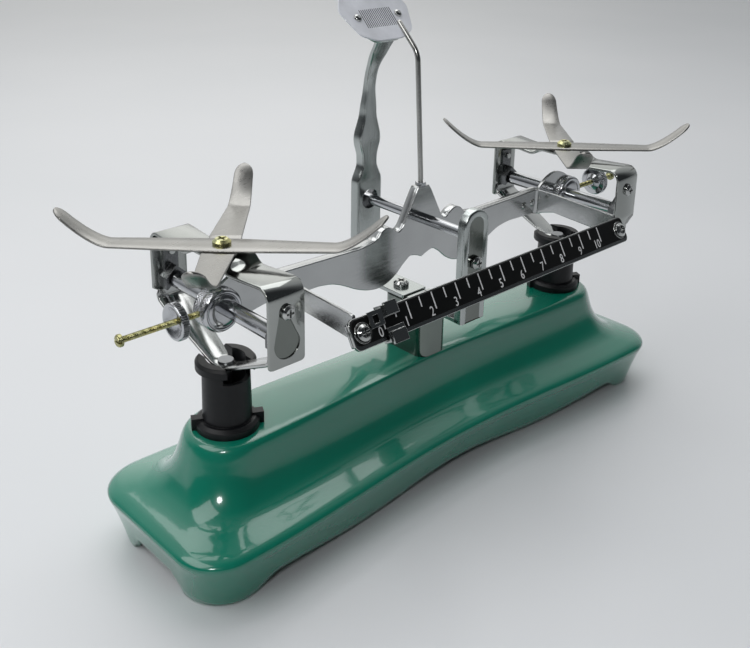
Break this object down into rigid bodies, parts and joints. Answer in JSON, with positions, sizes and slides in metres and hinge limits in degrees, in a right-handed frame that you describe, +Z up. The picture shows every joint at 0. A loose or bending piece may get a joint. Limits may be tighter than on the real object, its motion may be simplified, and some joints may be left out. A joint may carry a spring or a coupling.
{
  "type": "table balance",
  "caption": "Two-pan table balance without its pans: beam on knife edges, stirrups with pan crosses, pointer and dial, rider scale, balance nuts and cast base.",
  "frame": {"origin": "on the table plane, under the middle of the whole balance; the beam line lies 6.4 mm behind it", "axes": "+X along the beam to the right seen from the rider scale, +Y away from the rider scale, +Z up"},
  "size_m": [0.3118, 0.1077, 0.2181],
  "materials": {
    "green_enamel": "gloss enamel on cast iron",
    "black_plastic": "gloss black",
    "nickel_plate": "satin nickel plate",
    "bright_plate": "bright plate",
    "beam_plate": "bright plate",
    "polished_steel": "polished",
    "dark_steel": "dark hardened steel",
    "dial_enamel": "satin white",
    "yellow_zinc": "yellow zinc plate",
    "plain_zinc": "plain zinc plate",
    "scale_black": "gloss black enamel",
    "scale_white": "white filled marks",
    "bronze": "turned"
  },
  "bodies": {
    "stand": {"base_shell": "green_enamel", "sleeve_left": "black_plastic", "sleeve_right": "black_plastic", "pedestal": "nickel_plate", "rear_post": "bright_plate", "front_bracket": "bright_plate", "rear_bearing": "dark_steel", "front_bearing": "dark_steel", "stand_screws": "bright_plate", "pedestal_screws": "bright_plate", "bearing_screws": "bright_plate", "dial_plate": "dial_enamel", "dial_rivets": "bright_plate", "stay_bracket": "plain_zinc", "stay_pivot_pin": "plain_zinc"},
    "beam": {"beam_frame": "beam_plate", "knife_arm_left": "beam_plate", "knife_arm_right": "beam_plate", "knife_arm_rivets": "bright_plate", "centre_knife": "polished_steel", "pointer": "polished_steel", "pointer_nut": "bright_plate", "hub_left": "polished_steel", "hub_right": "polished_steel", "end_knife_left": "polished_steel", "end_knife_right": "polished_steel", "balance_rod_left": "yellow_zinc", "balance_rod_right": "yellow_zinc", "scale_bar": "bright_plate", "scale_face": "scale_black", "scale_ticks": "scale_white", "scale_screws": "bright_plate"},
    "rider": {"rider": "bright_plate"},
    "balance_nut_left": {"balance_nut_left": "polished_steel"},
    "balance_nut_right": {"balance_nut_right": "polished_steel"},
    "pan_support_left": {"stirrup_left": "bright_plate", "v_strap_left": "bright_plate", "stem_left": "plain_zinc", "knife_seats_left": "dark_steel", "stirrup_screws_left": "bright_plate", "cross_upper_left": "bright_plate", "cross_lower_left": "bright_plate", "cross_screw_left": "yellow_zinc"},
    "pan_support_right": {"stirrup_right": "bright_plate", "v_strap_right": "bright_plate", "stem_right": "plain_zinc", "knife_seats_right": "dark_steel", "stirrup_screws_right": "bright_plate", "cross_upper_right": "bright_plate", "cross_lower_right": "bright_plate", "cross_screw_right": "yellow_zinc"},
    "stay": {"stay_lever": "plain_zinc", "stay_bush": "bronze", "stay_end_pins": "plain_zinc"}
  },
  "joints": [
    {"name": "beam_tilt", "type": "hinge", "parent": "stand", "child": "beam", "pos_m": [0, 0.0064, 0.1188], "axis": [0, 1, 0], "range_deg": [-2.5, 2.5]},
    {"name": "pan_left_swing", "type": "hinge", "parent": "beam", "child": "pan_support_left", "pos_m": [-0.1085, 0.0064, 0.107], "axis": [0, 1, 0], "range_deg": [-2.5, 2.5]},
    {"name": "pan_right_swing", "type": "hinge", "parent": "beam", "child": "pan_support_right", "pos_m": [0.1085, 0.0064, 0.107], "axis": [0, 1, 0], "range_deg": [-2.5, 2.5]},
    {"name": "stay_tilt", "type": "hinge", "parent": "stand", "child": "stay", "pos_m": [0, 0.0064, 0.0338], "axis": [0, 1, 0], "range_deg": [-2.5, 2.5]},
    {"name": "rider_slide", "type": "slide", "parent": "beam", "child": "rider", "axis": [1, 0, 0], "range_m": [0, 0.14]},
    {"name": "nut_left_travel", "type": "slide", "parent": "beam", "child": "balance_nut_left", "axis": [-1, 0, 0], "range_m": [-0.005, 0.02]},
    {"name": "nut_right_travel", "type": "slide", "parent": "beam", "child": "balance_nut_right", "axis": [1, 0, 0], "range_m": [-0.014, 0.011]}
  ],
  "couplings": [
    {"joint": "pan_left_swing", "follows": "beam_tilt", "ratio": -1},
    {"joint": "pan_right_swing", "follows": "beam_tilt", "ratio": -1},
    {"joint": "stay_tilt", "follows": "beam_tilt", "ratio": 1}
  ]
}
